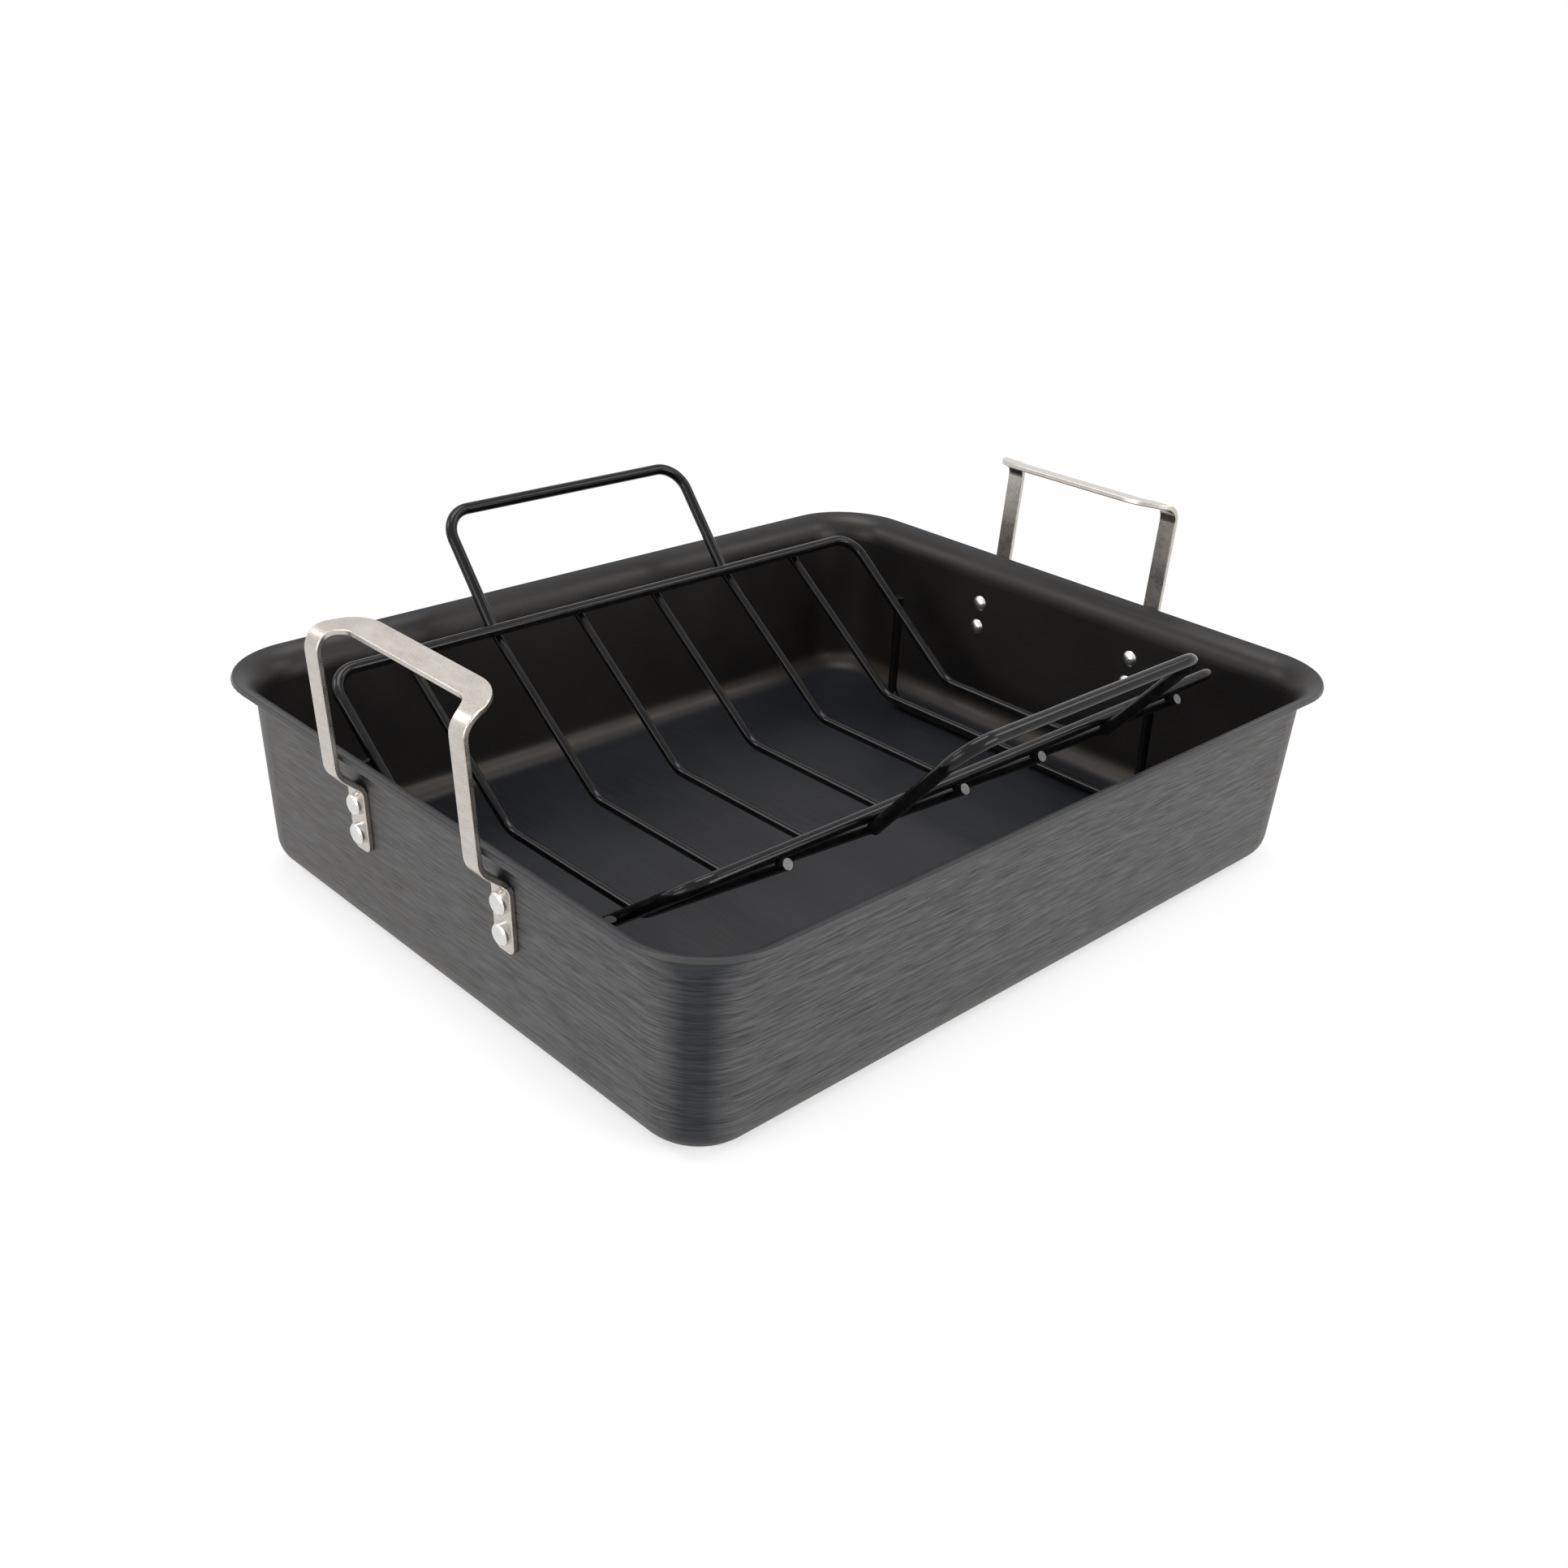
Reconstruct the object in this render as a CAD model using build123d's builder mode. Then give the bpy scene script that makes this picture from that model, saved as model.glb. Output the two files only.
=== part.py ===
from build123d import *
from math import asin, atan2, cos, hypot, radians, sin, sqrt, tan
import os

os.makedirs("parts", exist_ok=True)

# A roasting pan with a wire rack that lifts out. Lengths are in millimetres, angles in degrees.
# The pan's long side lies along X and +Z is up.
# The origin is at the middle of the pan's bottom face.

# Pan, drawn from one sheet
pan_length = 416.0        # over the lip, along X, before its edge is rounded
pan_width = 339.4         # over the lip, along Y
pan_height = 95.0         # bottom face to the top of the lip
pan_sheet = 2.5
wall_draft = 2.7          # how far the walls lean outward
lip_slope = 20.0          # how far the lip rises outward
lip_bend = 14.0           # upper face, where the wall turns into the lip
lip_flat = 2.9            # straight strip outside that bend
lip_round = 0.6           # both corners of the lip's edge
bottom_bend = 12.0        # inner face, between wall and floor
floor_corner = 11.5       # plan radius of the flat floor's corners

# Pan handles, each bent from one flat strap
strap = 2.5
strap_round = 0.5         # all edges of the strap
foot_drop = 17.7          # top of the lip down to the top of the feet
foot_height = 30.3
foot_width = 12.0
foot_round = 3.5          # lower corners of the feet
foot_bend = 8.0           # where the strap leaves the wall
step_rise = 9.5           # height over which the strap steps out under the lip
step_bend = 9.0           # where it turns upright again
lip_gap = 0.8             # from the lip's edge to the legs
leg_width = 9.5
leg_lean = 4.2            # how far the legs lean outward
legs_apart = 90.5         # clear distance between the two legs
handle_rise = 51.6        # top of the lip up to the knee under the grip
grip_slope = 10.0         # how far the grip rises inward
grip_bend = 7.5           # inner face of the knee
grip_reach = 21.2         # knee to the free edge, along the grip
grip_width = 12.2         # free edge to the window's edge
grip_round = 21.0         # outer corners of the grip, seen square to it
window_round = 9.0        # corners of the window at the grip

# Rivets, two through each foot
rivet_pitch = 13.8
rivet_head = 9.4
rivet_head_height = 2.4
rivet_chamfer = 0.7
rivet_tail = 8.6          # head inside the pan
rivet_dome = 2.1          # height of the head inside the pan
rivet_shank = 4.8
rivet_fit = 0.1           # between a shank and the wall of its hole

# Rack, wires welded side by side
rack_offset = -4.6        # the rack stands this far from the pan's middle, along X
rest_gap = 0.3            # between the rack's feet and the pan's floor
weld_gap = 0.05           # between two wires that are welded
rack_end_room = 18.3      # foot of the pan's end wall to the stand, with the rack in the middle
rack_side_room = 28.0     # foot of the pan's long wall to the long bar beside it
bar_over_lip = 0.3        # centres of the long bars above the top of the lip
frame_wire = 5.6
frame_low = 30.7          # the rack's underside to the end wires' level middle
frame_corner = 13.0       # bend where a long bar turns into an end
end_flat = 83.0           # level middle of an end wire, before its bends
end_bend = 16.0
rib_count = 6
rib_wire = 4.6
rib_end_room = 42.5       # from an end wire to the rib next to it, between centres
rib_low = 31.5            # the rack's underside to the ribs' level middle
rib_flat = 94.0           # level middle of a rib, before its bends
rib_bend = 16.0
rib_overhang = 5.0        # bare cut end beyond the long bar
rib_stop = 0.7            # a rib under a handle's leg stops this short of the long bar's middle
stand_wire = 5.0
stand_spread = 172.0      # between the centres of a stand's two legs
stand_bend = 10.0
stand_top = 1.0           # the leg's end, above the centre of the end wire beside it
bail_wire = 5.6
bail_lean = 50.0          # the bail's slope from level, leaning outward
bail_reach = 64.0         # long bar to the bail's grip, along the slope
bail_bend = 14.0
bail_tail = 1.0           # leg's end below its weld

# Every cut runs past the piece that it cuts by this much
overrun = 5.0


# Pan section, in the plane y = 0 on the +X side

half_length = pan_length / 2
half_width = pan_width / 2
lip_turn = 90 - wall_draft - lip_slope
lip_reach = lip_bend * tan(radians(lip_turn / 2)) + lip_flat
lip_tip_x = half_length - pan_sheet * sin(radians(lip_slope))
lip_knee_x = lip_tip_x - lip_reach * cos(radians(lip_slope))
lip_knee_z = pan_height - lip_reach * sin(radians(lip_slope))
wall_foot_x = lip_knee_x - (lip_knee_z - pan_sheet) * tan(radians(wall_draft))
floor_x = wall_foot_x - bottom_bend
floor_y = floor_x - half_length + half_width
lip_corner = floor_corner + half_length - floor_x


def wall_face(height):
    """Distance of the end wall's outer face from the pan's middle, at a height."""
    lean_out = (height - pan_sheet) * tan(radians(wall_draft))
    return wall_foot_x + pan_sheet / cos(radians(wall_draft)) + lean_out


def side_plane(side):
    """Upright plane y = 0 whose own x runs outward to one end of the pan: side is 1 or -1 along X."""
    return Plane(origin=(0, 0, 0), x_dir=(side, 0, 0), z_dir=(0, -side, 0))


# Rivet places: across the pan, and height on the wall's outer face

foot_top = pan_height - foot_drop
foot_bottom = foot_top - foot_height
foot_middle = (foot_top + foot_bottom) / 2
foot_inner = legs_apart / 2
foot_outer = foot_inner + foot_width
rivet_y = foot_inner + foot_width / 2
row_names = {"front": -1, "back": 1}
level_names = {"upper": 1, "lower": -1}
side_names = {"left": -1, "right": 1}


def wall_normal(side):
    """Direction square to an end wall, out of the pan."""
    return Vector(side * cos(radians(wall_draft)), 0, -sin(radians(wall_draft)))


def rivet_plane(side, row, level):
    """Plane square to a rivet, on the wall's outer face, with its normal pointing out of the pan."""
    height = foot_middle + level * rivet_pitch / 2 * cos(radians(wall_draft))
    place = (side * wall_face(height), row * rivet_y, height)
    return Plane(origin=place, x_dir=(0, 1, 0), z_dir=wall_normal(side))


def rivet_planes(side):
    """The four rivets of one end."""
    return [rivet_plane(side, row, level) for row in row_names.values() for level in level_names.values()]


# Pan: the wall and lip go round as one bent strip, and the floor closes it

with BuildPart() as pan:
    with BuildLine(Plane.XY) as rim:
        right = Line((half_length, 0), (half_length, half_width - lip_corner))
        back_right = JernArc(right @ 1, right % 1, lip_corner, 90)
        back = Line(back_right @ 1, (lip_corner - half_length, half_width))
        back_left = JernArc(back @ 1, back % 1, lip_corner, 90)
        left = Line(back_left @ 1, (-half_length, lip_corner - half_width))
        front_left = JernArc(left @ 1, left % 1, lip_corner, 90)
        front = Line(front_left @ 1, (half_length - lip_corner, -half_width))
        front_right = JernArc(front @ 1, front % 1, lip_corner, 90)
        Line(front_right @ 1, (half_length, 0))
    with BuildSketch(Plane.XZ) as pan_section:
        with BuildLine():
            FilletPolyline(
                (floor_x, pan_sheet),
                (wall_foot_x, pan_sheet),
                (lip_knee_x, lip_knee_z),
                (lip_tip_x, pan_height),
                radius=[bottom_bend, lip_bend],
            )
            offset(amount=pan_sheet, side=Side.RIGHT)
        make_face()
        fillet(pan_section.vertices().sort_by(Axis.X)[-2:], radius=lip_round)
    sweep(path=rim.wires()[0])
    with BuildSketch(Plane.XY):
        RectangleRounded(2 * floor_x, 2 * floor_y, floor_corner)
    extrude(amount=pan_sheet)
    with BuildSketch(*rivet_planes(side_names["left"]), *rivet_planes(side_names["right"])):
        Circle(rivet_shank / 2 + rivet_fit)
    extrude(amount=pan_sheet + overrun, both=True, mode=Mode.SUBTRACT)
pan.part.label = "pan"
export_step(pan.part, "parts/pan.step")


# Pan handles: feet flat on the wall, legs stepped out under the lip, grip leaning in over the pan

leg_base_x = half_length + lip_gap
leg_base_z = foot_top + step_rise
grip_knee_z = pan_height + handle_rise
grip_knee_x = leg_base_x + (grip_knee_z - leg_base_z) * tan(radians(leg_lean))
grip_edge_x = grip_knee_x - grip_reach * cos(radians(grip_slope))
grip_edge_z = grip_knee_z + grip_reach * sin(radians(grip_slope))
leg_outer = foot_inner + leg_width


def grip_plane(side):
    """Plane of the grip's under face: origin on the free edge, own x along Y, own y inward and up."""
    up_in = Vector(-side * cos(radians(grip_slope)), 0, sin(radians(grip_slope)))
    across = Vector(0, side, 0)
    edge = (side * grip_edge_x, 0, grip_edge_z)
    return Plane(origin=edge, x_dir=across, z_dir=across.cross(up_in))


def pan_handle(side):
    """One handle, at the left end (side -1) or the right end (side 1)."""
    with BuildPart() as handle:
        with BuildSketch(side_plane(side)):
            with BuildLine():
                FilletPolyline(
                    (wall_face(foot_bottom), foot_bottom),
                    (wall_face(foot_top), foot_top),
                    (leg_base_x, leg_base_z),
                    (grip_knee_x, grip_knee_z),
                    (grip_edge_x, grip_edge_z),
                    radius=[foot_bend, step_bend, grip_bend],
                )
                offset(amount=strap, side=Side.RIGHT)
            make_face()
        extrude(amount=foot_outer, both=True)
        # Window between the feet and the legs, up to the knee
        window_height = grip_knee_z - foot_bottom
        with BuildSketch(Plane.YZ):
            with Locations((0, foot_bottom + (window_height - grip_bend - overrun) / 2)):
                Rectangle(legs_apart, window_height - grip_bend + overrun)
        extrude(amount=half_length + grip_reach + overrun, both=True, mode=Mode.SUBTRACT)
        # The window goes on over the knee, to the grip's inner edge, with round corners
        with BuildSketch(grip_plane(side)):
            with Locations((0, -grip_width - grip_reach)):
                RectangleRounded(legs_apart, 2 * grip_reach, window_round)
        extrude(amount=2 * grip_bend + strap, both=True, mode=Mode.SUBTRACT)
        # The legs are narrower than the feet
        neck = foot_outer - leg_outer
        neck_height = window_height + overrun + grip_reach
        with BuildSketch(Plane.YZ):
            for row in row_names.values():
                with Locations((row * (leg_outer + neck), foot_top + neck_height / 2)):
                    Rectangle(2 * neck, neck_height)
        extrude(amount=half_length + grip_reach + overrun, both=True, mode=Mode.SUBTRACT)
        # Round outer corners of the grip
        with BuildSketch(grip_plane(side)):
            with Locations((0, (overrun - grip_round) / 2)):
                Rectangle(2 * (foot_outer + overrun), grip_round + overrun)
            with Locations((0, -2 * grip_round)):
                RectangleRounded(2 * leg_outer, 4 * grip_round, grip_round, mode=Mode.SUBTRACT)
        extrude(amount=2 * grip_bend, both=True, mode=Mode.SUBTRACT)
        # Round lower corners of the feet, then every edge of the strap
        outward = Axis((0, 0, 0), wall_normal(side))
        fillet(handle.edges().filter_by(outward).sort_by(Axis.Z)[:4], radius=foot_round)
        fillet(handle.edges(), radius=strap_round)
        with BuildSketch(*rivet_planes(side)):
            Circle(rivet_shank / 2 + rivet_fit)
        extrude(amount=strap + overrun, both=True, mode=Mode.SUBTRACT)
    return handle


for side_name, side in side_names.items():
    handle = pan_handle(side)
    handle.part.label = side_name + "_pan_handle"
    export_step(handle.part, "parts/" + side_name + "_pan_handle.step")


# Rivets: flat head outside, shank through strap and wall, low dome inside

def rivet(plane):
    """One rivet on the plane of the wall's outer face."""
    head = rivet_head / 2
    tail = rivet_tail / 2
    shank = rivet_shank / 2
    top = strap + rivet_head_height
    section = Plane(origin=plane.origin, x_dir=plane.x_dir, z_dir=plane.x_dir.cross(plane.z_dir))
    with BuildPart() as pin:
        with BuildSketch(section):
            with BuildLine():
                dome = TangentArc((0, -pan_sheet - rivet_dome), (tail, -pan_sheet), tangent=(1, 0))
                Polyline(
                    dome @ 1,
                    (shank, -pan_sheet),
                    (shank, strap),
                    (head, strap),
                    (head, top - rivet_chamfer),
                    (head - rivet_chamfer, top),
                    (0, top),
                    dome @ 0,
                )
            make_face()
        revolve(axis=Axis(plane.origin, plane.z_dir))
    return pin


for side_name, side in side_names.items():
    for row_name, row in row_names.items():
        for level_name, level in level_names.items():
            name = side_name + "_" + row_name + "_" + level_name + "_rivet"
            pin = rivet(rivet_plane(side, row, level))
            pin.part.label = name
            export_step(pin.part, "parts/" + name + ".step")


# Rack, made to fit the pan: heights are from the pan's bottom face

rack_base = pan_sheet + rest_gap
wall_foot_y = floor_y + bottom_bend
bar_y = wall_foot_y - rack_side_room - frame_wire / 2
bar_z = pan_height + bar_over_lip
end_x = wall_foot_x - rack_end_room - stand_wire - weld_gap - frame_wire / 2
end_z = rack_base + frame_low
end_y = end_flat / 2
rib_pitch = 2 * (end_x - rib_end_room) / (rib_count - 1)


def wire(points, bends, diameter):
    """Round wire along straight runs with a bend at each inner point."""
    with BuildPart() as piece:
        with BuildLine() as route:
            FilletPolyline(*points, radius=bends)
        run = route.wires()[0]
        with BuildSketch(Plane(origin=run @ 0, z_dir=run % 0)):
            Circle(diameter / 2)
        sweep(path=run)
    return piece


# Rack frame: one closed loop, made as two halves about its middle
with BuildPart() as rack_frame:
    with BuildLine() as half_loop:
        FilletPolyline(
            (rack_offset, -bar_y, bar_z),
            (rack_offset + end_x, -bar_y, bar_z),
            (rack_offset + end_x, -end_y, end_z),
            (rack_offset + end_x, end_y, end_z),
            (rack_offset + end_x, bar_y, bar_z),
            (rack_offset, bar_y, bar_z),
            radius=[frame_corner, end_bend, end_bend, frame_corner],
        )
    with BuildSketch(Plane(origin=(rack_offset, -bar_y, bar_z), z_dir=(1, 0, 0))):
        Circle(frame_wire / 2)
    sweep(path=half_loop.wires()[0])
    mirror(about=Plane.YZ.offset(rack_offset))
rack_frame.part.label = "rack_frame"
export_step(rack_frame.part, "parts/rack_frame.step")

# Ribs: level in the middle, then up in a straight line that touches the long bars from below
rib_y = rib_flat / 2
rib_z = rack_base + rib_low
rib_seat = (frame_wire + rib_wire) / 2 + weld_gap
rib_line = hypot(bar_y - rib_y, bar_z - rib_z)
rib_slope = atan2(bar_z - rib_z, bar_y - rib_y) - asin(rib_seat / rib_line)
rib_weld = sqrt(rib_line**2 - rib_seat**2)
bail_ribs = (1, rib_count - 2)
for index in range(rib_count):
    x = rack_offset + (index - (rib_count - 1) / 2) * rib_pitch
    slope_length = rib_weld - rib_stop if index in bail_ribs else rib_weld + rib_overhang
    tip_y = rib_y + slope_length * cos(rib_slope)
    tip_z = rib_z + slope_length * sin(rib_slope)
    rib = wire(
        [(x, -tip_y, tip_z), (x, -rib_y, rib_z), (x, rib_y, rib_z), (x, tip_y, tip_z)],
        [rib_bend, rib_bend],
        rib_wire,
    )
    rib.part.label = "rack_rib_" + str(index + 1)
    export_step(rib.part, "parts/rack_rib_" + str(index + 1) + ".step")

# Stands: a square U outside each end wire, with its level run on the pan's floor
stand_x = end_x + (frame_wire + stand_wire) / 2 + weld_gap
stand_y = stand_spread / 2
stand_z = rack_base + stand_wire / 2
end_slope = (bar_z - end_z) / (bar_y - end_y)
stand_tip_z = end_z + (stand_y - end_y) * end_slope + stand_top
for side_name, side in side_names.items():
    x = rack_offset + side * stand_x
    stand = wire(
        [
            (x, -stand_y, stand_tip_z),
            (x, -stand_y, stand_z),
            (x, stand_y, stand_z),
            (x, stand_y, stand_tip_z),
        ],
        [stand_bend, stand_bend],
        stand_wire,
    )
    stand.part.label = side_name + "_rack_stand"
    export_step(stand.part, "parts/" + side_name + "_rack_stand.step")

# Rack handles: square bails that touch the long bars from outside and lean out over the pan's lip.
# Their legs stand at the same places along the bars as two of the ribs.
bail_x = ((rib_count - 1) / 2 - bail_ribs[0]) * rib_pitch
bail_seat = (frame_wire + bail_wire) / 2 + weld_gap
lean = radians(bail_lean)
weld_y = bar_y + bail_seat * sin(lean)
weld_z = bar_z - bail_seat * cos(lean)
tail_y = weld_y - bail_tail * cos(lean)
tail_z = weld_z - bail_tail * sin(lean)
grip_y = weld_y + bail_reach * cos(lean)
grip_z = weld_z + bail_reach * sin(lean)
for row_name, row in row_names.items():
    bail = wire(
        [
            (rack_offset - bail_x, row * tail_y, tail_z),
            (rack_offset - bail_x, row * grip_y, grip_z),
            (rack_offset + bail_x, row * grip_y, grip_z),
            (rack_offset + bail_x, row * tail_y, tail_z),
        ],
        [bail_bend, bail_bend],
        bail_wire,
    )
    bail.part.label = row_name + "_rack_handle"
    export_step(bail.part, "parts/" + row_name + "_rack_handle.step")
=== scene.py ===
import math
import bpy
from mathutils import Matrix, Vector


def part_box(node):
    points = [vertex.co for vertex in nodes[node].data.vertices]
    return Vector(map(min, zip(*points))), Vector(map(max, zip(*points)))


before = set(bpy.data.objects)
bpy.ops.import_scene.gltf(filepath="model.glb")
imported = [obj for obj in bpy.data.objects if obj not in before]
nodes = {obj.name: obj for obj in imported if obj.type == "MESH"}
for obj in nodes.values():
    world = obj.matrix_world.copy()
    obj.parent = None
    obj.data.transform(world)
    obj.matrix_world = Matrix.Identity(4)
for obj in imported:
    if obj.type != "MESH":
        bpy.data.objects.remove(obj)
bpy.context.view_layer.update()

from fnmatch import fnmatchcase
from functools import reduce

import bpy
from mathutils import Matrix, Vector

scene = bpy.context.scene

# Lengths are in metres and angles in degrees. Colours are linear, with an alpha of 1.
# A noise is given as its scale, detail and roughness, and a span as its two ends.
# A relief is given as a bump's distance and strength.

white = (1.0, 1.0, 1.0, 1.0)


def grey(value, warm=0.0):
    """A grey, a little warmer or cooler."""
    return (value * (1 + warm), value, value * (1 - warm), 1.0)


# Node helpers

# The Mix node's sockets for each type of data: its two inputs and its result
mix_sockets = {"RGBA": (6, 7, 2), "FLOAT": (2, 3, 0)}


class Graph:
    """Builds the node tree of one material or world."""

    def __init__(self, owner, output_kind="ShaderNodeOutputMaterial"):
        owner.use_nodes = True
        self.owner = owner
        self.tree = owner.node_tree
        self.tree.nodes.clear()
        self.output = self.tree.nodes.new(output_kind)

    def plug(self, socket, value):
        """Links an output socket, or sets a plain value."""
        if isinstance(value, bpy.types.NodeSocket):
            self.tree.links.new(value, socket)
        else:
            socket.default_value = value

    def node(self, kind, inputs=(), **settings):
        node = self.tree.nodes.new(kind)
        for key, value in settings.items():
            setattr(node, key, value)
        for key, value in dict(inputs).items():
            self.plug(node.inputs[key], value)
        return node

    def add(self, kind, inputs=(), out=0, **settings):
        """Adds a node and gives one of its output sockets."""
        return self.node(kind, inputs, **settings).outputs[out]

    def math(self, operation, *values):
        return self.add("ShaderNodeMath", dict(enumerate(values)), operation=operation)

    def fold(self, operation, values):
        """Joins all the values by one operation, from first to last."""
        return reduce(lambda a, b: self.math(operation, a, b), values)

    def product(self, *values):
        return self.fold("MULTIPLY", values)

    def largest(self, *values):
        return self.fold("MAXIMUM", values)

    def total(self, *weighed):
        """Sum of values, each given with its weight."""
        return self.fold("ADD", [self.product(value, weight) for value, weight in weighed])

    def place(self):
        """Position in the part's own frame."""
        return self.add("ShaderNodeTexCoord", out="Object")

    def normal(self, kind):
        """The mesh face's own normal (True Normal), or the one smoothed over its bends (Normal)."""
        return self.add("ShaderNodeNewGeometry", out=kind)

    def split(self, vector):
        return tuple(self.node("ShaderNodeSeparateXYZ", {0: vector}).outputs)

    def stretch(self, vector, scale):
        return self.add("ShaderNodeVectorMath", {0: vector, 1: scale}, operation="MULTIPLY")

    def noise(self, vector, scale, detail, rough):
        inputs = {"Vector": vector, "Scale": scale, "Detail": detail, "Roughness": rough}
        return self.add("ShaderNodeTexNoise", inputs)

    def ramp(self, value, span, onto=(0.0, 1.0), smooth=True):
        """Maps one span onto another, and holds the value at both ends."""
        return self.add(
            "ShaderNodeMapRange",
            {"Value": value, "From Min": span[0], "From Max": span[1], "To Min": onto[0], "To Max": onto[1]},
            interpolation_type="SMOOTHSTEP" if smooth else "LINEAR",
        )

    def mixed(self, data, factor, a, b):
        first, second, result = mix_sockets[data]
        return self.add("ShaderNodeMix", {0: factor, first: a, second: b}, out=result, data_type=data)

    def mix(self, factor, a, b):
        """Mixes two colours."""
        return self.mixed("RGBA", factor, a, b)

    def blend(self, factor, a, b):
        """Mixes two plain numbers."""
        return self.mixed("FLOAT", factor, a, b)

    def bump(self, height, distance, strength):
        return self.add("ShaderNodeBump", {"Height": height, "Distance": distance, "Strength": strength})

    def mix_shaders(self, factor, a, b):
        return self.add("ShaderNodeMixShader", {0: factor, 1: a, 2: b})

    def show(self, shader):
        """Ends the tree in a shader."""
        self.tree.links.new(shader, self.output.inputs[0])

    def surface(self, **inputs):
        """Ends the tree in a Principled shader, whose inputs are written with underlines here."""
        named = {key.replace("_", " "): value for key, value in inputs.items()}
        self.show(self.add("ShaderNodeBsdfPrincipled", named))


def dress(material, *patterns):
    """Gives a material to every piece whose name fits one of the patterns."""
    for name, piece in nodes.items():
        if any(fnmatchcase(name, pattern) for pattern in patterns):
            piece.data.materials.clear()
            piece.data.materials.append(material)


# Pan: brushed dark metal outside, satin coating inside, worn cut edge

# The sheet's inner face looks up everywhere and its outer face down, by the z of the face's normal
inside_span = (-0.02, 0.02)
# The lip's cut edge is the only face that looks both outward and up
edge_outward_span = (0.55, 0.75)
edge_height_span = (0.088, 0.090)
edge_colour = grey(0.055, -0.02)

# Lines brushed round the walls, fine upright and drawn out level.
# Each layer has its noise's scale, its scale along the wall as a share of that, its detail and its weight.
brush_layers = (
    (1100.0, 0.045, 3.0, 1.9),
    (130.0, 0.08, 3.0, 0.2),
    (2300.0, 0.04, 2.0, 1.7),
)
brush_rough = 0.65
noise_middle = 0.5
line_span = (-0.40, 0.40)

# The flat of each wall is brushed grey. On the turned corners and the bottom's bend a darker, bluer colour
# is painted in: painted shade, standing in for the dark reflection there.
# Each pair has the painted-shade colour on the bends, then the colour on the flat.
painted_bend_shade_span = (0.78, 0.99)
dark_line_with_painted_shade = ((0.014, 0.016, 0.020, 1.0), (0.038, 0.0387, 0.040, 1.0))
light_line_with_painted_shade = ((0.040, 0.045, 0.054, 1.0), (0.134, 0.135, 0.137, 1.0))
outer_rough = (0.40, 0.58)
outer_metal = 0.5

# Coating inside: browner up the walls and navy black on the floor, thinner and thicker in faint clouds.
# Each pair has the value up the walls, then the value on the floor.
floor_level_span = (0.80, 0.98)
coat_thin = ((0.0100, 0.0092, 0.0085, 1.0), (0.0075, 0.0088, 0.0120, 1.0))
coat_thick = ((0.0150, 0.0137, 0.0125, 1.0), (0.0120, 0.0138, 0.0180, 1.0))
coat_cloud = (11.0, 3.0, 0.5)
coat_cloud_span = (0.35, 0.65)
coat_rough_span = (0.3, 0.7)
coat_rough = (0.34, 0.42)

# Fine grain that the roller left in the coating
roller_stretch = (1.0, 0.05, 1.0)
roller_noise = (700.0, 3.0, 0.6)
roller_span = (0.42, 0.72)
roller_shares = (0.25, 0.6)
roller_colour = (0.019, 0.021, 0.026, 1.0)

# A painted highlight: the coating is made lighter and browner along the bottom's bend, by the z of the
# normal and the height
bend_highlight_wall_span = (0.12, 0.5)
bend_highlight_floor_span = (0.97, 0.7)
bend_highlight_height_span = (0.030, 0.014)
bend_highlight_share = 0.75
painted_highlight_colour = (0.042, 0.034, 0.027, 1.0)

pebble_noise = (2600.0, 2.0, 0.5)
pebble_share = 0.4
pan_relief = (0.00005, 0.6)
pan_specular = 0.30
pan_specular_tint = (1.0, 0.95, 0.89, 1.0)


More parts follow.
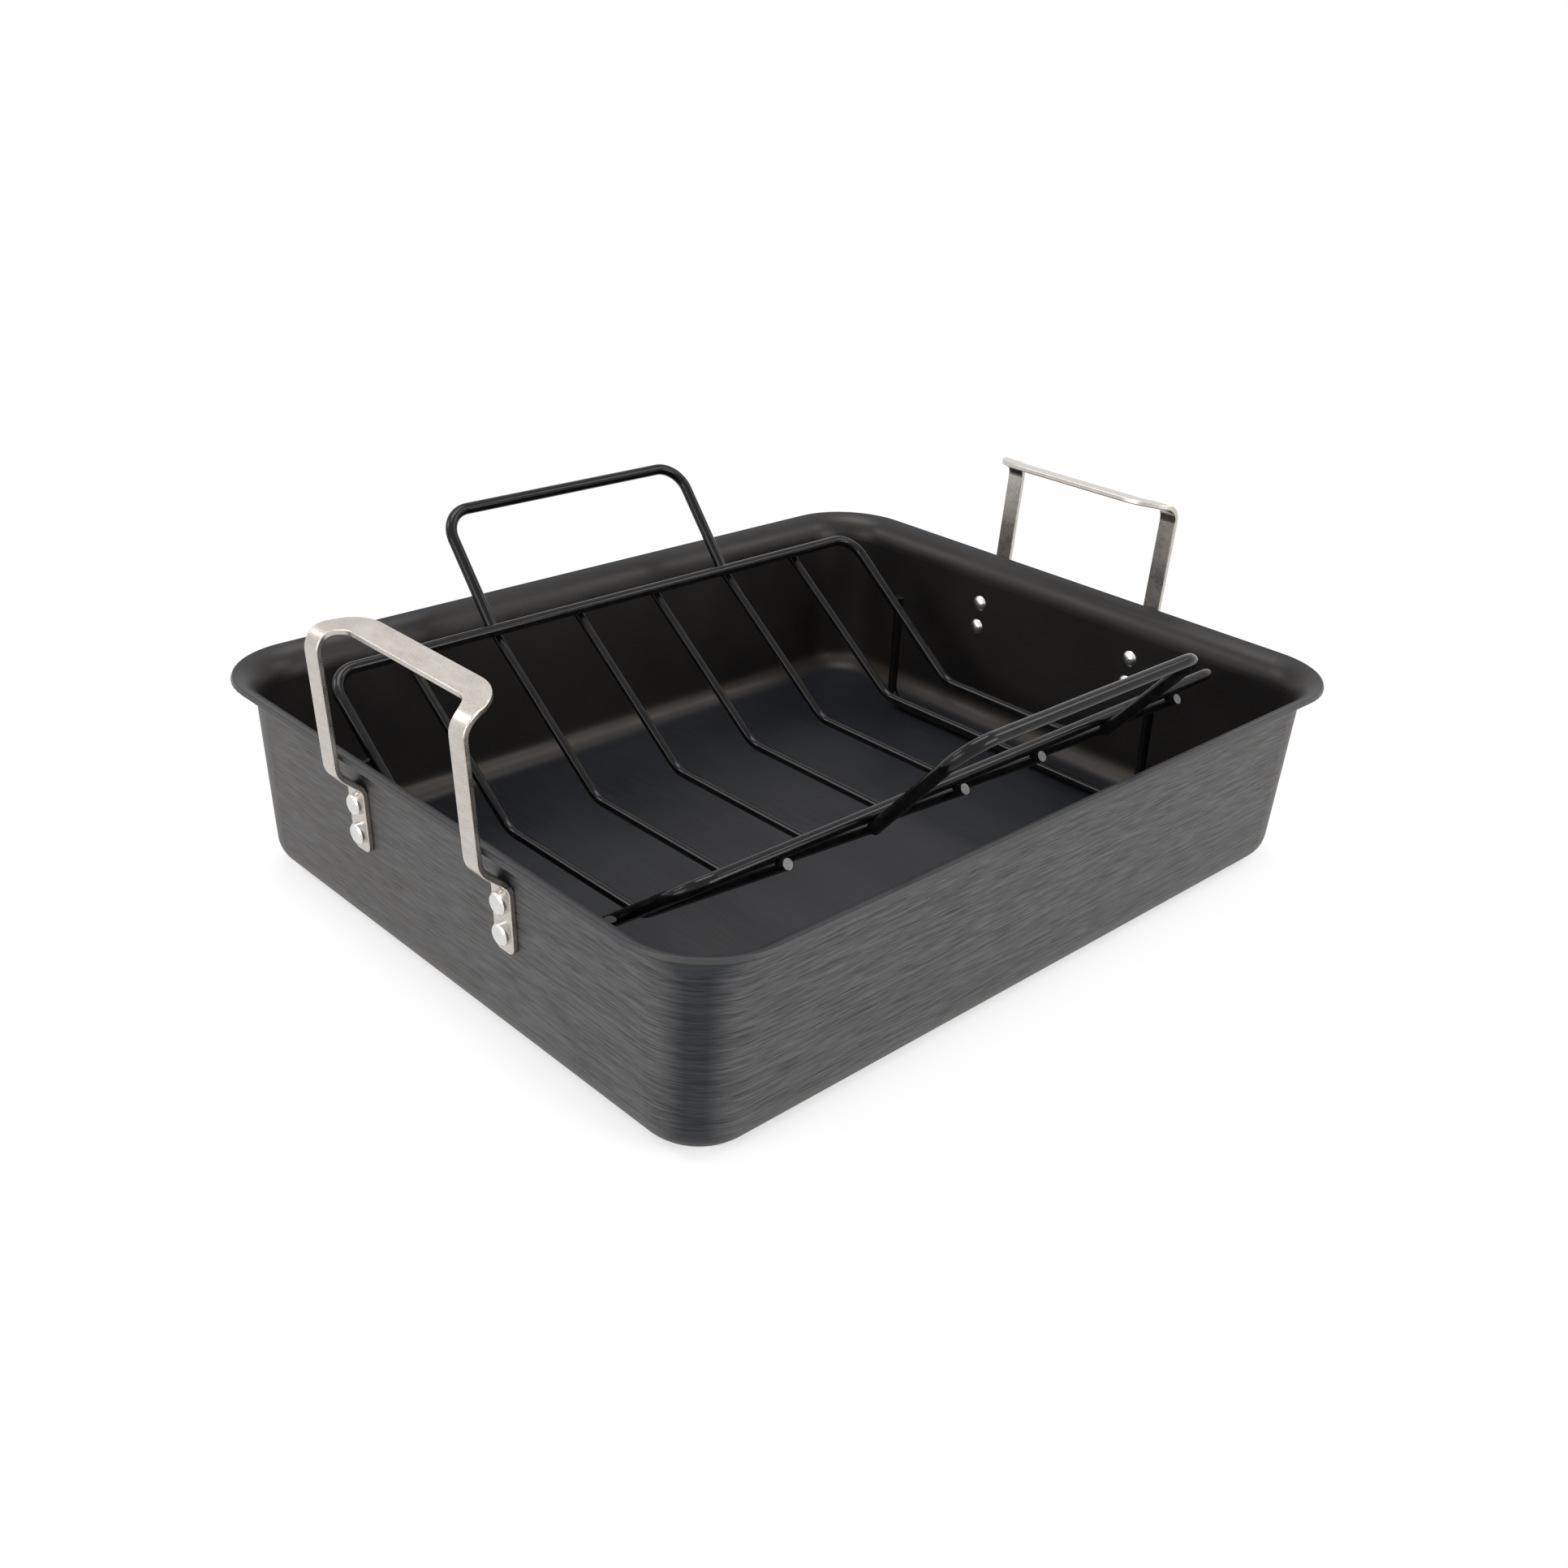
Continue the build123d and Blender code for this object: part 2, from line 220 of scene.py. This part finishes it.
def pan_material():
    s = Graph(bpy.data.materials.new("pan_metal"))
    place = s.place()
    x, y, z = s.split(place)
    face_x, face_y, face_z = s.split(s.normal("True Normal"))
    inside = s.ramp(face_z, inside_span, smooth=False)
    outward = s.total((face_x, s.math("SIGN", x)), (face_y, s.math("SIGN", y)))
    edge = s.product(s.ramp(outward, edge_outward_span), s.ramp(z, edge_height_span), inside)

    layers = []
    for scale, share_along, detail, weight in brush_layers:
        drawn = s.noise(s.stretch(place, (share_along, share_along, 1.0)), scale, detail, brush_rough)
        layers.append((s.math("SUBTRACT", drawn, noise_middle), weight))
    tone = s.total(*layers)
    bent_x, bent_y, _ = s.split(s.normal("Normal"))
    # Painted shade mask: 1 on the flat walls, 0 on the turned corners and the bottom's bend, where the
    # darker, bluer colours are painted in
    free_of_painted_shade = s.ramp(s.largest(s.math("ABSOLUTE", bent_x), s.math("ABSOLUTE", bent_y)), painted_bend_shade_span)
    outer = s.mix(s.ramp(tone, line_span, smooth=False), s.mix(free_of_painted_shade, *dark_line_with_painted_shade), s.mix(free_of_painted_shade, *light_line_with_painted_shade))

    cloud = s.noise(place, *coat_cloud)
    level = s.ramp(face_z, floor_level_span)
    inner = s.mix(s.ramp(cloud, coat_cloud_span), s.mix(level, *coat_thin), s.mix(level, *coat_thick))
    roller = s.noise(s.stretch(place, roller_stretch), *roller_noise)
    rolled = s.product(s.ramp(roller, roller_span), s.blend(level, *roller_shares))
    inner = s.mix(rolled, inner, roller_colour)
    # Painted highlight along the bottom's bend, mixed into the coating's colour
    bend = s.product(s.ramp(face_z, bend_highlight_wall_span), s.ramp(face_z, bend_highlight_floor_span))
    painted_bend_highlight = s.product(bend, s.ramp(z, bend_highlight_height_span), bend_highlight_share)
    inner = s.mix(painted_bend_highlight, inner, painted_highlight_colour)

    rough_outside = s.blend(s.ramp(tone, line_span), *outer_rough)
    rough_inside = s.blend(s.ramp(cloud, coat_rough_span), *coat_rough)
    pebble = s.product(s.noise(place, *pebble_noise), pebble_share)
    height = s.blend(inside, s.math("ADD", tone, noise_middle), pebble)
    s.surface(
        Base_Color=s.mix(edge, s.mix(inside, outer, inner), edge_colour),
        Metallic=s.blend(inside, outer_metal, 0.0),
        Roughness=s.blend(inside, rough_outside, rough_inside),
        Normal=s.bump(height, *pan_relief),
        Specular_IOR_Level=pan_specular,
        Specular_Tint=pan_specular_tint,
    )
    return s.owner


# Pan handles and rivets: satin stainless with a fine blasted grain, rubbed smoother in faint clouds

blast_detail = 3.0
blast_rough = 0.65
steel_cloud = (70.0, 3.0, 0.55)
steel_rub = (420.0, 2.0, 0.5)
steel_rub_stretch = (1.0, 0.25, 1.0)
steel_tone_weights = (0.65, 0.12, 0.23)      # blasted grain, cloud, rub
steel_rough_weights = (0.6, 0.4)             # cloud, blasted grain
steel_span = (0.38, 0.62)
blast_strength = 0.6

handle_look = {
    "colours": (grey(0.42, 0.08), grey(0.60, 0.08)),
    "rough": (0.25, 0.34),
    "blast_scale": 2300.0,
    "blast_depth": 0.00003,
}
rivet_look = {
    "colours": (grey(0.62, 0.01), grey(0.76, 0.01)),
    "rough": (0.24, 0.34),
    "blast_scale": 2600.0,
    "blast_depth": 0.00002,
}


def steel_material(name, colours, rough, blast_scale, blast_depth):
    s = Graph(bpy.data.materials.new(name))
    place = s.place()
    blast = s.noise(place, blast_scale, blast_detail, blast_rough)
    cloud = s.noise(place, *steel_cloud)
    rub = s.noise(s.stretch(place, steel_rub_stretch), *steel_rub)
    tone = s.total(*zip((blast, cloud, rub), steel_tone_weights))
    wear = s.total(*zip((cloud, blast), steel_rough_weights))
    s.surface(
        Base_Color=s.mix(s.ramp(tone, steel_span, smooth=False), *colours),
        Metallic=1.0,
        Roughness=s.blend(s.ramp(wear, steel_span), *rough),
        Normal=s.bump(blast, blast_depth, blast_strength),
    )
    return s.owner


# Rack: satin-gloss black coating on round wire, bare where the ribs were cut

sag_noise = (150.0, 2.0, 0.5)
speck_noise = (1700.0, 2.0, 0.5)
wire_colours = ((0.0040, 0.0040, 0.0042, 1.0), (0.0075, 0.0072, 0.0070, 1.0))
wire_colour_span = (0.35, 0.65)
wire_rough_weights = (0.5, 0.5)              # sag, speck
wire_rough_span = (0.38, 0.62)
wire_rough = (0.12, 0.17)
wire_height_weights = (0.3, 0.02)            # sag, speck
wire_relief = (0.00008, 0.2)
wire_specular = 0.21

cut_outward_span = (0.76, 0.79)
cut_place_span = (0.1265, 0.1275)            # distance from the pan's middle, across it
cut_noise = (2400.0, 2.0, 0.6)
cut_colours = (grey(0.07, 0.02), grey(0.15, 0.02))
cut_colour_span = (0.35, 0.65)
cut_rough = 0.45


def rack_material(name, bare_ends):
    s = Graph(bpy.data.materials.new(name))
    place = s.place()
    waves = (s.noise(place, *sag_noise), s.noise(place, *speck_noise))
    colour = s.mix(s.ramp(waves[0], wire_colour_span), *wire_colours)
    rough = s.blend(s.ramp(s.total(*zip(waves, wire_rough_weights)), wire_rough_span), *wire_rough)
    metal = 0.0
    if bare_ends:
        y = s.split(place)[1]
        face_y = s.split(s.normal("True Normal"))[1]
        outward = s.product(face_y, s.math("SIGN", y))
        bare = s.product(s.ramp(outward, cut_outward_span), s.ramp(s.math("ABSOLUTE", y), cut_place_span))
        steel = s.mix(s.ramp(s.noise(place, *cut_noise), cut_colour_span), *cut_colours)
        colour = s.mix(bare, colour, steel)
        rough = s.blend(bare, rough, cut_rough)
        metal = bare
    s.surface(
        Base_Color=colour,
        Metallic=metal,
        Roughness=rough,
        Normal=s.bump(s.total(*zip(waves, wire_height_weights)), *wire_relief),
        Specular_IOR_Level=wire_specular,
    )
    return s.owner


dress(pan_material(), "pan")
dress(steel_material("handle_steel", **handle_look), "*_pan_handle")
dress(steel_material("rivet_steel", **rivet_look), "*_rivet")
dress(rack_material("rack_coating", bare_ends=False), "rack_frame", "*_rack_stand", "*_rack_handle")
dress(rack_material("rib_coating", bare_ends=True), "rack_rib_*")


# Floor: plain, pale, white to the camera and in reflections, with the pan's shadow close round it

floor_reach = 6.0
floor_colour = (0.93, 0.93, 0.93, 1.0)
floor_glow = 0.45
# The shadow starts to fade at these shares of the pan's half length and half width
shadow_shares = (0.87, 0.84)
shadow_fade_span = (0.0, 0.045)
# How much plain white shows under the pan, and where the shadow has faded
plain_white_span = (0.15, 1.0)
full_strength = 1.0


def seen_rays(s):
    """1 for rays that show the background: straight, reflected or let through."""
    path = s.node("ShaderNodeLightPath").outputs
    return s.largest(path["Is Camera Ray"], path["Is Glossy Ray"], path["Is Transmission Ray"])


def floor_material():
    s = Graph(bpy.data.materials.new("floor"))
    past = []
    for place, half, share in zip(s.split(s.place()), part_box("pan")[1], shadow_shares):
        past.append(s.largest(s.math("SUBTRACT", s.math("ABSOLUTE", place), half * share), 0.0))
    away = s.math("SQRT", s.total(*zip(past, past)))
    diffuse = s.add("ShaderNodeBsdfDiffuse", {"Color": floor_colour})
    glow = s.add("ShaderNodeEmission", {"Color": white, "Strength": floor_glow})
    lit = s.add("ShaderNodeAddShader", {0: diffuse, 1: glow})
    plain = s.add("ShaderNodeEmission", {"Color": white, "Strength": full_strength})
    shown = s.mix_shaders(s.ramp(away, shadow_fade_span, plain_white_span), lit, plain)
    s.show(s.mix_shaders(seen_rays(s), diffuse, shown))
    return s.owner


floor_mesh = bpy.data.meshes.new("floor")
floor_mesh.from_pydata(
    [
        (-floor_reach, -floor_reach, 0),
        (floor_reach, -floor_reach, 0),
        (floor_reach, floor_reach, 0),
        (-floor_reach, floor_reach, 0),
    ],
    [],
    [(0, 1, 2, 3)],
)
floor = bpy.data.objects.new("floor", floor_mesh)
scene.collection.objects.link(floor)
floor_mesh.materials.append(floor_material())


# World: white to the camera and in reflections, softly grey as light

ambient_strength = 0.35

scene.world = bpy.data.worlds.new("studio")
sky = Graph(scene.world, "ShaderNodeOutputWorld")
ambient = sky.add("ShaderNodeBackground", {"Color": white, "Strength": ambient_strength})
backdrop = sky.add("ShaderNodeBackground", {"Color": white, "Strength": full_strength})
sky.show(sky.mix_shaders(seen_rays(sky), ambient, backdrop))


# Softboxes, all aimed at the pan's middle

softbox_aim = Vector((0.0, 0.0, 0.05))
# Each has its place, width, height and power in watts
softboxes = {
    "overhead": ((0.1, 0.25, 1.5), 0.9, 0.6, 10.0),
    "left_side": ((-1.35, -0.10, 0.5), 0.9, 0.7, 6.5),
    "front_side": ((0.45, -1.45, 0.5), 0.9, 0.7, 10.0),
    "back_left": ((-0.85, 0.95, 1.05), 0.5, 0.5, 4.0),
    "front_right": ((0.95, -0.65, 1.05), 0.5, 0.5, 3.0),
}
for name, (place, width, height, power) in softboxes.items():
    lamp = bpy.data.lights.new(name, "AREA")
    lamp.shape = "RECTANGLE"
    lamp.size = width
    lamp.size_y = height
    lamp.energy = power
    holder = bpy.data.objects.new(name, lamp)
    scene.collection.objects.link(holder)
    turn = (softbox_aim - Vector(place)).to_track_quat("-Z", "Y").to_matrix().to_4x4()
    holder.matrix_world = Matrix.Translation(Vector(place)) @ turn


# Camera, fitted to the photograph

camera_yaw = 45.240
camera_pitch = 26.450
camera_roll = -2.926
camera_place = Vector((-0.50413, -0.50516, 0.39121))
camera_sensor = 36.0         # sensor width, in millimetres
camera_focus = 2059.5        # focal length, in pixels of the photograph
photo_width = 1932           # in pixels
camera_near = 0.01

yaw, pitch, roll = math.radians(camera_yaw), math.radians(camera_pitch), math.radians(camera_roll)
forward = Vector((math.cos(pitch) * math.cos(yaw), math.cos(pitch) * math.sin(yaw), -math.sin(pitch)))
level_right = forward.cross(Vector((0, 0, 1))).normalized()
level_down = forward.cross(level_right)
right = math.cos(roll) * level_right + math.sin(roll) * level_down
down = -math.sin(roll) * level_right + math.cos(roll) * level_down
camera_data = bpy.data.cameras.new("camera")
camera_data.sensor_fit = "HORIZONTAL"
camera_data.sensor_width = camera_sensor
camera_data.lens = camera_sensor * camera_focus / photo_width
camera_data.clip_start = camera_near
camera = bpy.data.objects.new("camera", camera_data)
scene.collection.objects.link(camera)
camera_turn = Matrix((right, -down, -forward)).transposed().to_4x4()
camera.matrix_world = Matrix.Translation(camera_place) @ camera_turn
scene.camera = camera
scene.view_settings.view_transform = "Standard"
